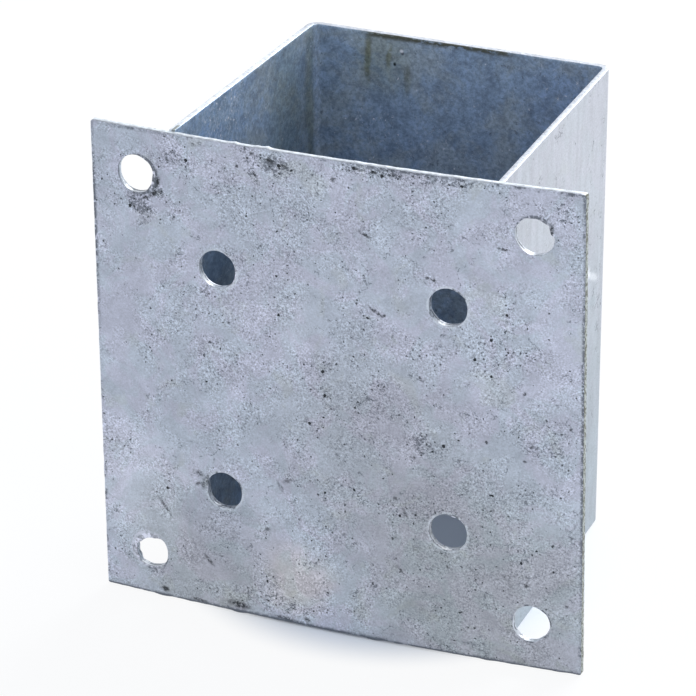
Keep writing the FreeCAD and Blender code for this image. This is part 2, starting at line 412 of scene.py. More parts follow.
def sleeve_outline():
    """The outside of the folded sheet seen from above, from the left free edge to the right."""
    mouth, fold = SLEEVE_HIGH[0], SLEEVE_FOLD_HALF
    front, back = SLEEVE_LOW[1], SLEEVE_HIGH[1]
    lean = math.atan2(mouth - fold, back - front)
    radius = BEND_OUTER_RADIUS
    # The bend's tangent points lie this far from the virtual corner of the two outer faces.
    setback = radius * math.tan((math.pi / 2 - lean) / 2)
    wall_end = np.array([fold + setback * math.sin(lean), back - setback * math.cos(lean)])
    bend_centre = np.array([fold - setback, back - radius])
    wall_start = np.array([mouth, front])

    half = []
    wall_count = round(np.linalg.norm(wall_end - wall_start) / SLEEVE_STEP)
    for item in range(wall_count):
        half.append(wall_start + (wall_end - wall_start) * item / wall_count)
    for item in range(BEND_STEPS + 1):
        angle = lean + (math.pi / 2 - lean) * item / BEND_STEPS
        half.append(bend_centre + radius * np.array([math.cos(angle), math.sin(angle)]))
    far_count = round((fold - setback) / SLEEVE_STEP)
    for item in range(1, far_count):
        half.append(np.array([(fold - setback) * (1 - item / far_count), back]))
    right = half + [np.array([0.0, back])]
    left = [np.array([-point[0], point[1]]) for point in half]
    return left + right[::-1]


def make_sleeve():
    """The folded sleeve: its outside face, thickened inwards and set askew."""
    outline = sleeve_outline()
    levels = spaced([-HALF_HEIGHT, HALF_HEIGHT], SLEEVE_STEP)
    vertices = [(x, y, z) for x, y in outline for z in levels]
    rows = len(levels)
    faces = [(column * rows + row, column * rows + row + 1,
              (column + 1) * rows + row + 1, (column + 1) * rows + row)
             for column in range(len(outline) - 1) for row in range(rows - 1)]
    sleeve = new_object("folded_sleeve", vertices, faces)
    steps = [np.linalg.norm(far - near) for near, far in zip(outline, outline[1:])]
    unfolded = np.concatenate([[0], np.cumsum(steps)])
    unfolded -= unfolded[-1] / 2
    mark_sheet_place(sleeve, [(across, z, 0) for across in unfolded for z in levels])
    dress(sleeve, "post_sleeve")
    for look in (sleeve_outer_look(), sleeve_inner_look(), sleeve_edge_look()):
        sleeve.data.materials.append(look)
    thicken(sleeve, SHEET, EDGE_ROUNDING)
    displace(sleeve, askew)


WELD_STEP = 0.5
WELD_FAN = 10
WELD_RIPPLE = 2.1
WELD_RIPPLE_HEIGHT = 0.22
# The bead wanders within this length, its leg and its ripples by this much. The leg is a little
# short, and only a share of it is left at the bead's very ends.
WELD_WANDER_LENGTH = 9
WELD_WANDER = 0.3
WELD_LEG_LOSS = 0.35
WELD_END_LEG = 0.45
WELD_SEED = 5


def weld_section(z, low, high, side):
    """The bead's outline at level z: its root in the corner, then its crown as a fan of points."""
    wall = SLEEVE_HIGH[0]
    end_distance = min(z - low, high - z)
    fade = math.sqrt(max(0.0, 1 - (1 - min(1, end_distance / WELD_LEG)) ** 2))
    wander = noise.noise(Vector((z / WELD_WANDER_LENGTH, side * WELD_SEED, 0)))
    # Each ripple is the edge of one small pool of weld metal.
    pool = (z / WELD_RIPPLE + WELD_WANDER * wander) % 1
    ripple = WELD_RIPPLE_HEIGHT * math.sin(math.pi * pool)
    leg = WELD_LEG - WELD_LEG_LOSS + WELD_WANDER * wander
    leg *= WELD_END_LEG + (1 - WELD_END_LEG) * fade
    section = [(side * (wall - WELD_ROOT), SHEET - WELD_ROOT, z)]
    for item in range(WELD_FAN + 1):
        share = item / WELD_FAN
        crown = (WELD_CROWN * fade + ripple) * math.sin(math.pi * share)
        outward = leg * (1 - share) + crown * math.sqrt(0.5)
        back = leg * share + crown * math.sqrt(0.5)
        if item == 0:
            back = -WELD_ROOT
        if item == WELD_FAN:
            outward = -WELD_ROOT
        section.append((side * (wall + outward), SHEET + back, z))
    return section


def make_weld(node, side):
    """A rippled fillet weld between the plate's back and the outside of one sleeve wall."""
    low, high = node_box(node)
    levels = spaced([low[2], high[2]], WELD_STEP)
    vertices = [point for z in levels for point in weld_section(z, low[2], high[2], side)]
    ring = WELD_FAN + 2
    faces = []
    for row in range(len(levels) - 1):
        for item in range(ring):
            here, there = row * ring + item, row * ring + (item + 1) % ring
            faces.append((here, there, there + ring, here + ring))
    faces.append(tuple(range(ring)))
    faces.append(tuple(range((len(levels) - 1) * ring, len(levels) * ring))[::-1])
    if side > 0:
        faces = [face[::-1] for face in faces]
    weld = new_object(node + "_rippled", vertices, faces)
    weld.data.shade_smooth()
    dress(weld, node)
    weld.data.materials.append(weld_look(node))
    displace(weld, askew)


# ---- materials

# Metal share and roughness of the zinc on the sheet's faces, and roughness of that on cut edges.
ZINC_METALLIC = 0.45
ZINC_ROUGHNESS = 0.5
CUT_ROUGHNESS = 0.45
# How far apart in a texture one seed's place is from the next.
SEED_SHIFT = (17.3, 31.7, 5.9)
# Blender's Mix node keeps its two colour inputs and its colour output here.
MIX_COLORS = slice(6, 8)
MIX_RESULT = 2


class Look:
    """A node material on a Principled BSDF. Lengths given to its textures are millimetres.

    Marks lie on the unfolded sheet, and so do the textures, unless the look is a solid one."""

    def __init__(self, name, metallic=ZINC_METALLIC, roughness=ZINC_ROUGHNESS, solid=False):
        self.material = bpy.data.materials.new(name)
        self.material.use_nodes = True
        self.tree = self.material.node_tree
        self.shader = self.tree.nodes["Principled BSDF"]
        self.shader.inputs["Metallic"].default_value = metallic
        self.shader.inputs["Roughness"].default_value = roughness
        self.place = self.node("Attribute", attribute_name="sheet_place").outputs["Vector"]
        self.texture_place = self.solid_place() if solid else self.place

    def node(self, kind, **settings):
        """A new shader node with these settings."""
        made = self.tree.nodes.new("ShaderNode" + kind)
        for name, value in settings.items():
            setattr(made, name, value)
        return made

    def feed(self, socket, value):
        """Links another node's output to a socket, or sets the socket to a plain value."""
        if isinstance(value, bpy.types.NodeSocket):
            self.tree.links.new(value, socket)
        else:
            socket.default_value = value

    def math(self, operation, first, second=0.0):
        made = self.node("Math", operation=operation)
        self.feed(made.inputs[0], first)
        self.feed(made.inputs[1], second)
        return made.outputs[0]

    def product(self, first, *factors):
        for factor in factors:
            first = self.math("MULTIPLY", first, factor)
        return first

    def highest(self, first, *others):
        for other in others:
            first = self.math("MAXIMUM", first, other)
        return first

    def vector(self, operation, first, second=(0, 0, 0)):
        made = self.node("VectorMath", operation=operation)
        self.feed(made.inputs[0], first)
        self.feed(made.inputs[1], second)
        return made.outputs["Value" if operation == "LENGTH" else "Vector"]

    def solid_place(self):
        """A point's place in the row frame, in millimetres."""
        return self.vector("MULTIPLY", self.node("TexCoord").outputs["Object"], (1 / MM,) * 3)

    def axis(self, index, place=None):
        made = self.node("SeparateXYZ")
        self.feed(made.inputs[0], place or self.place)
        return made.outputs[index]

    def at(self, size, seed, place=None):
        """A texture place in which one unit is size, a length or one for each axis."""
        place = place or self.texture_place
        sizes = size if isinstance(size, tuple) else (size,) * 3
        scaled = self.vector("MULTIPLY", place, tuple(1 / value for value in sizes))
        return self.vector("ADD", scaled, tuple(shift * seed for shift in SEED_SHIFT))

    def noise(self, size, seed, detail=2, roughness=0.6, distortion=0.0):
        made = self.node("TexNoise")
        self.feed(made.inputs["Vector"], self.at(size, seed))
        made.inputs["Scale"].default_value = 1.0
        made.inputs["Detail"].default_value = detail
        made.inputs["Roughness"].default_value = roughness
        made.inputs["Distortion"].default_value = distortion
        return made.outputs["Fac"]

    def cells(self, size, seed, place=None):
        """Distance to the nearest of scattered points, in units of size, and its random value."""
        made = self.node("TexVoronoi", voronoi_dimensions="2D")
        self.feed(made.inputs["Vector"], self.at(size, seed, place))
        made.inputs["Scale"].default_value = 1.0
        return made.outputs["Distance"], self.axis(0, made.outputs["Color"])

    def turned(self, place, angle):
        """A place turned within the sheet."""
        made = self.node("VectorRotate", rotation_type="Z_AXIS")
        self.feed(made.inputs["Vector"], place)
        made.inputs["Angle"].default_value = angle
        return made.outputs[0]

    def ramp(self, value, low, high, to_low=0.0, to_high=1.0):
        """A smooth step from to_low, where value is low, to to_high, where it is high."""
        made = self.node("MapRange", interpolation_type="SMOOTHSTEP")
        for socket, number in zip(made.inputs, (value, low, high, to_low, to_high)):
            self.feed(socket, number)
        return made.outputs["Result"]

    def mix(self, share, first, second, blend="MIX"):
        """The first colour, turning into the second as share goes from 0 to 1."""
        made = self.node("Mix", data_type="RGBA", blend_type=blend)
        self.feed(made.inputs[0], share)
        for socket, color in zip(made.inputs[MIX_COLORS], (first, second)):
            self.feed(socket, (*color, 1) if isinstance(color, tuple) else color)
        return made.outputs[MIX_RESULT]

    def times(self, color, tone):
        """A colour multiplied by a tone, which is a colour or a number."""
        return self.mix(1.0, color, tone, "MULTIPLY")

    def bump(self, height, distance, below=None):
        """Relief of this height in millimetres, on top of the relief below it."""
        made = self.node("Bump")
        made.inputs["Distance"].default_value = distance * MM
        self.feed(made.inputs["Height"], height)
        if below:
            self.feed(made.inputs["Normal"], below)
        return made.outputs["Normal"]

    def finish(self, color, relief):
        self.feed(self.shader.inputs["Base Color"], color)
        self.feed(self.shader.inputs["Normal"], relief)
        return self.material


LAVENDER = (0.492, 0.510, 0.600)
BLUE_GREY = (0.470, 0.518, 0.592)
GREEN_GREY = (0.465, 0.505, 0.540)
SPECK_DARK = (0.10, 0.115, 0.14)
SPECK_BRIGHT = (0.80, 0.82, 0.86)
PIT_BLACK = (0.02, 0.024, 0.03)
RIM_PALE = (0.66, 0.71, 0.76)
FILM_PALE = (0.66, 0.67, 0.76)
# Small and large pits: how far apart, how often one is there, widest radius as a share of that
# distance, strength, seed. Pits crowd where specks do, by this factor.
PITS = [
    (2.1, 0.4, 0.15, 0.85, 7),
    (4.6, 0.26, 0.13, 1, 8),
]
PIT_CROWDING = 1.6


def cloudy_zinc(look, seed):
    """Smooth cloud patches of slightly different greys."""
    hue = look.noise(16, seed, detail=3, distortion=1.2)
    color = look.mix(look.ramp(hue, 0.42, 0.58), BLUE_GREY, LAVENDER)
    green = look.noise(11, seed + 1, detail=3, distortion=0.8)
    color = look.mix(look.ramp(green, 0.56, 0.7, 0, 0.7), color, GREEN_GREY)
    shade = look.noise(9, seed + 2, detail=4, distortion=0.6)
    _, chance = look.cells(6.0, seed + 3, warped_place(look, seed + 4, 4, 3))
    crystal = look.ramp(chance, 0, 1, 0.96, 1.04)
    return look.times(color, look.product(look.ramp(shade, 0.3, 0.7, 0.92, 1.08), crystal))


def warped_place(look, seed, size, reach):
    """The sheet's place shaken by up to reach, so that marks laid on it aren't round."""
    shake_across = look.math("SUBTRACT", look.noise(size, seed, roughness=0.5), 0.5)
    shake_up = look.math("SUBTRACT", look.noise(size, seed + 1, roughness=0.5), 0.5)
    shake = look.node("CombineXYZ")
    look.feed(shake.inputs[0], shake_across)
    look.feed(shake.inputs[1], shake_up)
    shaken = look.vector("MULTIPLY", shake.outputs[0], (2 * reach, 2 * reach, 0.0))
    return look.vector("ADD", look.place, shaken)


def blot(look, place, across, up, radius, radius_up=None, turn=0.0):
    """1 in the middle of a blot on the sheet, falling to 0 at its radius."""
    away = look.vector("SUBTRACT", place, (across, up, 0.0))
    if turn:
        away = look.turned(away, turn)
    away = look.vector("MULTIPLY", away, (1 / radius, 1 / (radius_up or radius), 0.0))
    return look.ramp(look.vector("LENGTH", away), 1, 0.25)


def toned(look, color, place, tones):
    """A colour multiplied within blots by tones. Each row holds a blot's numbers, then its tone."""
    for *spot, tone in tones:
        color = look.mix(blot(look, place, *spot), color, look.times(color, tone))
    return color


def crowded(look, density, place, crowds):
    """A density raised within blots. Each row holds a blot's numbers, then how much it adds."""
    for *spot, amount in crowds:
        here = blot(look, place, *spot)
        density = look.math("ADD", density, look.product(here, amount))
    return density


def spread(look, seed, size=13):
    """How densely specks and pits lie on a dipped face, in wide soft patches."""
    return look.noise(size, seed + 9, detail=4, roughness=0.65, distortion=0.9)


def grained_zinc(look, color, density, seed):
    """Fine grain, specks, cracks and pits over a colour; density says where they crowd."""
    rough = look.ramp(density, 0.38, 0.6)
    fine = look.noise(0.48, seed + 3, detail=1)
    swing = look.product(look.math("SUBTRACT", fine, 0.5),
                         look.math("ADD", look.product(rough, 1.5), 0.5))
    color = look.times(color, look.math("ADD", swing, 1.0))

    speck = look.noise(0.7, seed + 4, roughness=0.75)
    bright = look.product(look.ramp(speck, 0.6, 0.7), look.product(rough, 0.3))
    color = look.mix(bright, color, SPECK_BRIGHT)
    level = look.ramp(density, 0.35, 0.95, 0.265, 0.55)
    dark = look.ramp(look.math("SUBTRACT", level, speck), 0, 0.04, 0, 0.8)
    color = look.mix(dark, color, SPECK_DARK)

    winding = look.noise(15, seed + 5, detail=4)
    line = look.math("ABSOLUTE", look.math("SUBTRACT", winding, 0.5))
    crack = look.product(look.ramp(line, 0.014, 0.003),
                         look.ramp(look.noise(7, seed + 6, roughness=0.5), 0.5, 0.6),
                         look.ramp(speck, 0.55, 0.42), 0.75)
    color = look.mix(crack, color, SPECK_DARK)

    place = warped_place(look, seed + 10, 0.7, 0.4)
    for size, share, widest, strength, pit_seed in PITS:
        distance, chance = look.cells(size, seed + pit_seed, place)
        crowd = look.product(look.math("SUBTRACT", density, 0.5), PIT_CROWDING)
        spare = look.math("SUBTRACT", look.math("ADD", crowd, share), chance)
        reach = look.ramp(spare, 0, 0.5, 0, widest)
        pit = look.ramp(look.math("SUBTRACT", reach, distance), 0, 0.02, 0, strength)
        color = look.mix(pit, color, PIT_BLACK)
    return color


def zinc_relief(look, seed):
    """Slow waves of the dipped coating with a fine grain on them."""
    waves = look.bump(look.noise(8, seed + 7, detail=3, roughness=0.5, distortion=0.5), 0.12)
    return look.bump(look.noise(0.6, seed + 8, detail=3), 0.02, waves)


# Tones of the plate's front: across, up, radius, and what its colour is multiplied by.
PLATE_TONES = [
    (-66, -36, 26, (1.17, 1.15, 1.13)),
    (-36, -46, 18, (0.9, 0.93, 0.95)),
    (-62, 62, 20, (0.9, 0.9, 0.91)),
    (-12, 24, 14, (1.1, 1.09, 1.08)),
    (14, -14, 44, (0.86, 0.85, 0.83)),
    (44, -56, 56, (0.76, 0.755, 0.71)),
    (-40, -60, 38, (0.86, 0.84, 0.8)),
    (0, 30, 90, (0.96, 0.95, 0.955)),
    (-11, -60, 15, (1.16, 1.08, 0.98)),
    (62, -2, 22, (0.93, 0.93, 0.93)),
]
# Where specks and dark residue crowd on it: across, up, half width, half height, turn, amount.
PLATE_STAINS = [
    (-59.5, 50.5, 7.5, 4.5, 0.3, 0.42),
    (-54, 56.5, 2.2, 4.5, -0.3, 0.6),
    (-59, 45.5, 4, 2, -0.4, 0.4),
    (-64, 63, 5, 5, 0, 0.15),
    (-18, 70, 10, 4.5, 0.2, 0.42),
    (-24, 66, 4, 2, 0.7, 0.35),
    (-50, 66, 8, 4, -0.2, 0.15),
    (-35, 35, 12, 12, 0, 0.1),
    (28, -9, 9, 5, 0.3, 0.28),
    (28, -28, 12, 8, 0, 0.12),
    (40, -38, 26, 20, 0, 0.04),
    (46, 25, 9, 5, 0, 0.12),
    (62, 2, 10, 14, 0, 0.14),
    (48, -52, 28, 24, 0, 0.04),
    (-66, 20, 20, 60, 0, -0.05),
    (40, 52, 26, 16, 0, -0.1),
    (12, 0, 30, 22, 0, 0.06),
    (-25, -68, 30, 4, 0, 0.18),
    (-39, -33, 3, 7, 0, 0.35),
    (24, 72.3, 30, 1.7, 0, 0.3),
    (68, 69, 4, 2.5, 0.6, 0.25),
]
# Its black pits, scores and blots: across, up, half length, half height, turn, strength.
PLATE_MARKS = [
    (13.4, 30.3, 4.4, 0.8, 0.56, 0.9),
    (10.2, 53.2, 2.8, 0.7, 0.42, 0.9),
    (51, 54.9, 2.6, 0.55, 0.1, 0.9),
    (64.7, 62, 0.9, 2.8, 0.15, 1),
    (-54.2, 60.5, 0.45, 2.6, 0.1, 0.95),
    (1, 68.4, 1.3, 1.2, 0, 0.8),
    (-18.2, 70.9, 1.9, 1.3, 0.3, 0.85),
    (-13.8, 69.8, 2.4, 0.9, 0.6, 0.8),
    (-23.8, 72.2, 1.1, 0.9, 0, 0.8),
    (-28.5, 67.7, 0.7, 0.8, 0, 0.9),
    (-42.2, 72.1, 0.8, 0.7, 0, 0.9),
    (-59.6, 48.4, 1.8, 0.7, 0.3, 0.85),
    (-53.9, 58.6, 1.3, 2.4, 0.2, 1),
    (-55.4, 54.9, 2.3, 1.3, -0.7, 1),
    (-57.8, 53.2, 1.5, 0.8, -0.2, 0.9),
    (30.8, 42.6, 1.5, 0.8, 0.5, 0.9),
    (28.8, 43, 0.8, 0.7, 0, 0.85),
    (8, 72.4, 1.8, 0.7, 0.1, 0.9),
    (13.2, 72.2, 2, 0.7, 0.1, 0.9),
    (18.6, 72.2, 1.9, 0.65, 0.1, 0.9),
    (-61.5, 53.9, 2, 0.5, 0.2, 0.85),
    (-65.7, 61.5, 0.5, 2.6, 0.15, 0.8),
    (-21.6, 44.6, 0.6, 0.6, 0, 0.9),
    (40.9, 24, 0.7, 0.7, 0, 0.9),
    (57.5, 12, 0.8, 0.8, 0, 0.95),
    (59.6, -4.2, 0.9, 0.8, 0, 0.85),
    (71.2, 3, 0.7, 0.7, 0, 0.95),
    (64, 4.8, 0.6, 0.6, 0, 0.9),
    (46.5, -4.7, 0.7, 0.7, 0, 0.95),
    (57.7, -8.8, 0.8, 0.7, 0, 0.8),
    (24.6, -13.1, 1.4, 0.9, 0.3, 0.7),
    (20.5, -49.7, 2.2, 0.6, 0.8, 0.75),
    (22, -31.5, 2.4, 0.7, 1, 0.7),
    (-21.2, -44.8, 1.2, 1, 0, 0.75),
    (-38.4, 11.8, 0.7, 0.7, 0, 0.8),
    (70.6, -52.7, 0.7, 0.7, 0, 0.75),
    (-55.4, -71.8, 1.9, 1.3, 0.2, 0.95),
    (-31, -71.6, 5.5, 1.8, 0.1, 0.95),
    (-44, -73, 4, 0.9, 0.1, 0.85),
    (-16, -73, 5, 1, 0.1, 0.85),
    (-9, -72, 1.6, 1, 0.2, 0.85),
    (-54.5, -44.5, 5.6, 0.75, 0.9, 0.75),
    (-40.5, -59, 3.2, 0.9, 0.8, 0.8),
    (-41.2, -33.6, 1.4, 3.4, 0.4, 0.85),
    (-42.8, -31, 1.8, 1.2, 0.3, 0.8),
    (-43.4, -34.4, 1.7, 0.9, -0.5, 0.75),
    (-16.9, -30, 0.9, 2.8, -0.5, 0.6),
    (-14.4, -27.8, 2.8, 0.9, -0.4, 0.6),
    (58.5, -48, 1, 0.9, 0, 0.75),
    (35, -46, 1, 0.9, 0, 0.7),
    (19, -46.4, 0.8, 0.8, 0, 0.8),
    (19, -26.9, 0.9, 0.9, 0, 0.7),
    (16, 29.5, 0.6, 0.6, 0, 0.9),
]
# Where the dark broken line at its edges is heavy: across, up, half width, half height.
GRIME_SPOTS = [
    (75, 0, 1.4, 90),
    (72, 72, 7, 9),
    (22, 74, 26, 3),
    (-74.5, 45, 1.5, 45),
    (-60, 60, 24, 24),
    (60, 64, 8, 5),
    (-37, 36, 6, 6),
    (-20, -74, 60, 3),
    (45, -74, 30, 2),
]


# Thick zinc lies in a lumpy crust round this outer hole: across, up, radius.
CRUST = (-63, -58, 11)
# Farther than any point of the plate from a hole.
FAR_AWAY = 1000.0


def hole_distance(look, *places):
    """How far a point of the plate is from the nearest bolt hole's edge; below 0 inside a hole."""
    folded = look.vector("MULTIPLY", look.vector("ABSOLUTE", look.place), (1, 1, 0))
    nearest = FAR_AWAY
    for place in places:
        away = look.vector("LENGTH", look.vector("SUBTRACT", folded, (place, place, 0.0)))
        nearest = look.math("MINIMUM", away, nearest)
    return look.math("SUBTRACT", nearest, HOLE_RADIUS)


def hole_rims(look, color, seed):
    """Pale thicker zinc round the inner holes, and lumpy where it set inside a hole."""
    lumps = look.noise(1.3, seed, detail=3, roughness=0.7)
    rim = look.product(look.ramp(hole_distance(look, INNER_HOLE), 1, 0.3),
                       look.ramp(lumps, 0.38, 0.52, 0, 0.6))
    color = look.mix(rim, color, RIM_PALE)
    crust = look.product(blot(look, look.place, *CRUST),
                         look.ramp(hole_distance(look, OUTER_HOLE), 1.2, 0.5),
                         look.ramp(lumps, 0.4, 0.5, 0, 0.8))
    color = look.mix(crust, color, FILM_PALE)
    film = look.ramp(hole_distance(look, OUTER_HOLE, INNER_HOLE), 0, -0.3, 0, 0.85)
    film_color = look.times(FILM_PALE, look.ramp(lumps, 0.38, 0.6, 0.5, 1.25))
    return look.mix(film, color, film_color)


def edge_grime(look, color, seed):
    """Broken dark lines where the coating ends at the plate's edges and round its holes."""
    folded = look.vector("ABSOLUTE", look.place)
    inside = look.math("MINIMUM", look.math("SUBTRACT", HALF_WIDTH, look.axis(0, folded)),
                       look.math("SUBTRACT", HALF_HEIGHT, look.axis(1, folded)))
    border = look.highest(look.ramp(inside, 1.3, 0.4),
                          look.ramp(hole_distance(look, OUTER_HOLE, INNER_HOLE), 0.6, 0.25))
    often = look.ramp(look.noise(5, seed, detail=3, roughness=0.7), 0.5, 0.62)
    often = look.highest(often, *[blot(look, look.place, *spot) for spot in GRIME_SPOTS])
    gaps = look.ramp(look.noise(1.1, seed + 1, roughness=0.7), 0.36, 0.52)
    share = look.product(border, look.product(often, gaps), 0.9)
    bottom = look.product(look.ramp(look.axis(1), 0.75 - HALF_HEIGHT, 0.35 - HALF_HEIGHT, 0, 0.92),
                          look.ramp(look.noise(3, seed + 2, roughness=0.5), 0.32, 0.46, 0.5, 1))
    return look.mix(look.highest(share, bottom), color, SPECK_DARK)


def plate_marks(look, color, seed):
    """The plate's own pits, scores and blots, with torn edges and gaps."""
    torn = warped_place(look, seed, 0.8, 0.45)
    broken = look.ramp(look.noise(0.9, seed + 2), 0.4, 0.52, 0.35, 1)
    for *spot, strength in PLATE_MARKS:
        share = look.product(blot(look, torn, *spot), look.product(broken, strength))
        color = look.mix(share, color, PIT_BLACK)
    return color


def plate_front_look():
    look = Look("plate_front_zinc")
    seed = 1
    soft = warped_place(look, seed + 12, 12, 8)
    color = toned(look, cloudy_zinc(look, seed), soft, PLATE_TONES)
    ragged = warped_place(look, seed + 14, 3, 1.5)
    density = crowded(look, spread(look, seed), ragged, PLATE_STAINS)
    color = grained_zinc(look, color, density, seed)
    color = hole_rims(look, color, seed + 15)
    color = plate_marks(look, color, seed + 18)
    color = edge_grime(look, color, seed + 16)
    return look.finish(color, zinc_relief(look, seed))


def plate_back_look():
    look = Look("plate_back_zinc")
    seed = 21
    color = grained_zinc(look, cloudy_zinc(look, seed), spread(look, seed), seed)
    return look.finish(color, zinc_relief(look, seed))


# Marks on the sleeve's right wall: across the unfolded sheet, up, half length, half width, turn,
# and what its colour is multiplied by.
OUTER_MARKS = [
    (65.2, 15.2, 4.4, 3, -0.35, (1.46, 1.42, 1.38)),
    (59.5, 12, 8, 1.8, -0.45, (1.46, 1.42, 1.38)),
    (60, 4, 6, 2.6, -0.3, (0.92, 0.95, 0.95)),
]
# The walls are evener than the plate, and towards the foot they are painted darker as painted shade.
WALL_GREY = (0.485, 0.497, 0.52)
WALL_EVENNESS = 0.65
WALL_FOOT_PAINTED_SHADE = (0.77, 0.83, 0.84)
# Fewer specks crowd on them than on the plate.
WALL_CLEANNESS = 0.34


def sleeve_outer_look():
    look = Look("sleeve_outer_zinc")
    seed = 41
    color = look.mix(WALL_EVENNESS, cloudy_zinc(look, seed), WALL_GREY)
    # Painted shade: the wall darkens towards its foot.
    foot = look.ramp(look.axis(1), 60, -70)
    color = look.mix(foot, color, look.times(color, WALL_FOOT_PAINTED_SHADE))
    streak = look.noise((2.6, 26, 1), seed + 3, detail=3)
    color = look.times(color, look.ramp(streak, 0.3, 0.7, 0.94, 1.05))
    torn = warped_place(look, seed + 12, 3, 0.4)
    color = toned(look, color, torn, OUTER_MARKS)
    density = look.math("SUBTRACT", spread(look, seed, size=15), WALL_CLEANNESS)
    color = grained_zinc(look, color, density, seed)
    return look.finish(color, zinc_relief(look, seed))


# The inside's zinc, painted darker and bluer than the outside's: painted shade inside the sleeve.
SHADED_INNER_BLUE = (0.27, 0.365, 0.50)
SHADED_INNER_GREY = (0.33, 0.40, 0.47)
INNER_FLECK = (0.55, 0.63, 0.74)
OLIVE_DIRT = (0.08, 0.082, 0.055)
# Tones of the sleeve's inside: across the unfolded sheet, up, half width, half height, tone.
INNER_TONES_AND_SHADOW = [
    (-118, 62, 30, 32, (0.8, 0.9, 1.03)),
    (-69, 50, 19, 40, (0.8, 0.8, 0.72)),
    (-52, 52, 5, 40, (0.82, 0.79, 0.66)),
    # Painted shadow of the plate on the left wall, near the plate.
    (-118, 15, 20, 26, (0.55, 0.58, 0.6)),
    (-118, -52, 22, 26, (1.1, 1.02, 0.92)),
    (-24, 66, 13, 16, (0.96, 0.93, 0.82)),
    (-28.8, 66, 1.8, 12, (0.7, 0.65, 0.47)),
    (-21.5, 67, 1.2, 6, (0.74, 0.7, 0.55)),
    (-16, 60, 2, 8, (0.82, 0.78, 0.68)),
    (38, 55, 22, 26, (0.98, 1, 1.06)),
    (0, 30, 40, 20, (0.92, 0.94, 0.98)),
]
# Where pale flecks crowd on it: across, up, half width, half height, amount.
INNER_FLECKS = [
    (-116, 62, 26, 26, 0.1),
    (-104, 68, 7, 6, 0.08),
    (-26, 46, 12, 10, 0.05),
    (-8, 38, 10, 12, 0.05),
    (34, 64, 14, 10, 0.04),
]
# One drop of zinc on its back wall, with a side of painted shade and a side of painted highlight,
# and a pit below it.
INNER_DROP_PAINTED_LIGHT_AND_PIT = [
    (-17.5, 68.6, 0.8, 0.9, SPECK_DARK),
    (-17.8, 69.3, 0.9, 0.8, SPECK_BRIGHT),
    (-20, 64.8, 0.7, 0.9, PIT_BLACK),
]
# Dirt lies along the top of the back wall: its middle, then how far it is full and where it ends.
DIRT_MIDDLE = -6
DIRT_FULL = 20
DIRT_END = 27


def inner_specks(look, color, place, seed):
    """Pale flecks with bright dots among them, and dark spots."""
    fleck = look.noise((1.3, 2, 1), seed + 2, detail=3, roughness=0.75, distortion=1.2)
    fleck = crowded(look, fleck, place, INNER_FLECKS)
    color = look.mix(look.ramp(fleck, 0.6, 0.7, 0, 0.5), color, INNER_FLECK)
    distance, chance = look.cells(1.9, seed + 5)
    dot = look.product(look.ramp(distance, 0.24, 0.12), look.ramp(chance, 0.5, 0.6),
                       look.ramp(fleck, 0.61, 0.66))
    color = look.mix(dot, color, SPECK_BRIGHT)
    spot = look.ramp(look.noise(1.6, seed + 6, detail=3, roughness=0.7), 0.63, 0.7, 0, 0.6)
    return look.mix(spot, color, SPECK_DARK)


def inner_dirt(look, color, seed):
    """Dirt along the top of the back wall, and below it a zinc drop with painted shade and a painted
    highlight, and a pit.
    """
    along = look.math("ABSOLUTE", look.math("ADD", look.axis(0), -DIRT_MIDDLE))
    dirty = look.product(look.ramp(along, DIRT_END, DIRT_FULL), look.ramp(look.axis(1), 71.9, 73.2))
    gaps = look.noise((2.5, 1, 1), seed + 7, detail=3, roughness=0.7)
    dirty = look.product(dirty, look.ramp(gaps, 0.36, 0.52, 0.2, 0.95))
    color = look.mix(dirty, color, OLIVE_DIRT)
    # The drop's dark and bright sides are painted shade and a painted highlight.
    for *spot, dot_color in INNER_DROP_PAINTED_LIGHT_AND_PIT:
        color = look.mix(blot(look, look.place, *spot), color, dot_color)
    return color


def sleeve_inner_look():
    look = Look("sleeve_inner_zinc_painted_shade")
    seed = 61
    hue = look.noise(18, seed, detail=5, roughness=0.7, distortion=0.4)
    # Painted shade: the inside starts from darker, bluer zinc than the outside.
    color = look.mix(look.ramp(hue, 0.42, 0.6), SHADED_INNER_BLUE, SHADED_INNER_GREY)
    shade = look.noise(5, seed + 1, detail=6, roughness=0.75, distortion=0.6)
    color = look.times(color, look.ramp(shade, 0.35, 0.65, 0.8, 1.18))
    grain = look.noise(1.1, seed + 3, roughness=0.7)
    color = look.times(color, look.ramp(grain, 0.3, 0.7, 0.8, 1.2))
    soft = warped_place(look, seed + 4, 6, 1.6)
    color = toned(look, color, soft, INNER_TONES_AND_SHADOW)
    color = inner_specks(look, color, soft, seed)
    color = inner_dirt(look, color, seed)
    return look.finish(color, zinc_relief(look, seed))


def edge_zinc(look, color):
    """Thick bright zinc on a cut edge, a little uneven, with specks of dirt; and its relief."""
    shade = look.noise(1.5, 81, detail=3)
    color = look.times(color, look.ramp(shade, 0.3, 0.7, 0.72, 1.12))
    dirt = look.noise((1.1, 0.7, 1.1), 82)
    color = look.mix(look.ramp(dirt, 0.64, 0.72, 0, 0.7), color, SPECK_DARK)
    return color, look.bump(look.noise(0.8, 83, roughness=0.5), 0.05)


# Zinc on the right and the left of the sleeve's cut edge, and a spot of painted shade at the left
# wall's end.
RIM_RIGHT = (0.54, 0.58, 0.65)
RIM_LEFT = (0.74, 0.79, 0.86)
RIM_PAINTED_SHADE = (0.16, 0.18, 0.17)


